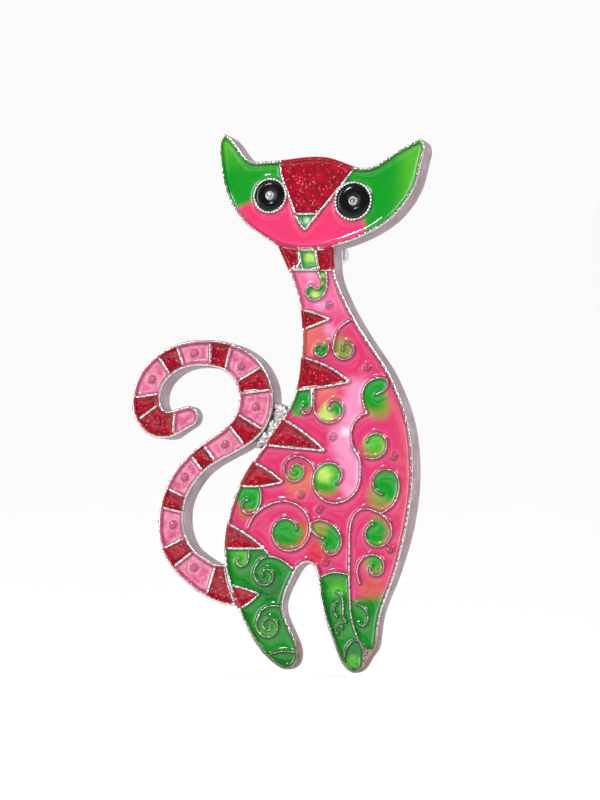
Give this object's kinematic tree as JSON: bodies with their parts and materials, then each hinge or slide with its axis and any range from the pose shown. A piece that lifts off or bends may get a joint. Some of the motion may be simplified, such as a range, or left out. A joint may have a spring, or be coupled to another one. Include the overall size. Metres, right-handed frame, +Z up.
{
  "type": "enamel pin",
  "caption": "Cat-shaped enamel brooch with a looped tail, raised metal lines round glossy enamel, and a hinged pin with a turning safety lock on its back.",
  "frame": {"origin": "on the flat back of the cat, on the line of the pin stem, about midway between the top of the ears and the feet", "axes": "+X to the viewer's right seen from the enamelled face, +Y out of the back, +Z up along the cat"},
  "size_m": [0.0357, 0.0067, 0.0625],
  "materials": {
    "plated_casting": "silver-plated zinc, satin sides and bright raised lines",
    "fitting_steel": "nickel-plated steel",
    "solder": "rough plated solder",
    "enamel_pink": "glossy enamel, hot pink shading to green and pearl",
    "enamel_green": "glossy enamel, green",
    "enamel_red": "glossy enamel, deep red with glitter",
    "enamel_pearl": "glossy enamel, pearly pink",
    "enamel_black": "glossy enamel, near black"
  },
  "bodies": {
    "brooch": {"cat_casting": "plated_casting", "catch_base": "fitting_steel", "coat_enamel": "enamel_pink", "collar_enamel_left": "enamel_red", "collar_enamel_middle": "enamel_green", "collar_enamel_right": "enamel_red", "eye_enamel_left": "enamel_black", "eye_enamel_right": "enamel_black", "face_enamel": "enamel_pink", "forehead_enamel": "enamel_red", "front_leg_enamel": "enamel_green", "front_toe_enamel": "enamel_green", "hind_leg_enamel": "enamel_green", "hind_toe_enamel": "enamel_green", "hinge_bracket": "fitting_steel", "hinge_rivet": "fitting_steel", "nose_enamel": "enamel_green", "stripe_enamel_back": "enamel_red", "stripe_enamel_flank": "enamel_red", "stripe_enamel_haunch": "enamel_red", "stripe_enamel_neck": "enamel_red", "stripe_enamel_shin": "enamel_red", "stripe_enamel_shoulder": "enamel_red", "tail_casting": "plated_casting", "tail_enamel_01": "enamel_red", "tail_enamel_02": "enamel_pearl", "tail_enamel_03": "enamel_red", "tail_enamel_04": "enamel_pearl", "tail_enamel_05": "enamel_red", "tail_enamel_06": "enamel_pearl", "tail_enamel_07": "enamel_red", "tail_enamel_08": "enamel_pearl", "tail_enamel_09": "enamel_red", "tail_enamel_10": "enamel_pearl", "tail_enamel_11": "enamel_red", "tail_enamel_12": "enamel_pearl", "tail_enamel_13": "enamel_red", "tail_enamel_14": "enamel_pearl", "tail_enamel_15": "enamel_red", "tail_enamel_16": "enamel_pearl", "tail_enamel_17": "enamel_red", "tail_enamel_18": "enamel_red", "tail_enamel_19": "enamel_pearl", "tail_solder": "solder", "throat_enamel": "enamel_green"},
    "stem": {"stem": "fitting_steel"},
    "lock": {"catch_lock": "fitting_steel"}
  },
  "joints": [
    {"name": "stem_hinge", "type": "hinge", "parent": "brooch", "child": "stem", "pos_m": [0, 0.002, 0.0172], "axis": [1, 0, 0], "range_deg": [0, 90]},
    {"name": "lock_turn", "type": "hinge", "parent": "brooch", "child": "lock", "pos_m": [0, 0.002, -0.0105], "axis": [0, 0, -1], "range_deg": [0, 120]}
  ]
}
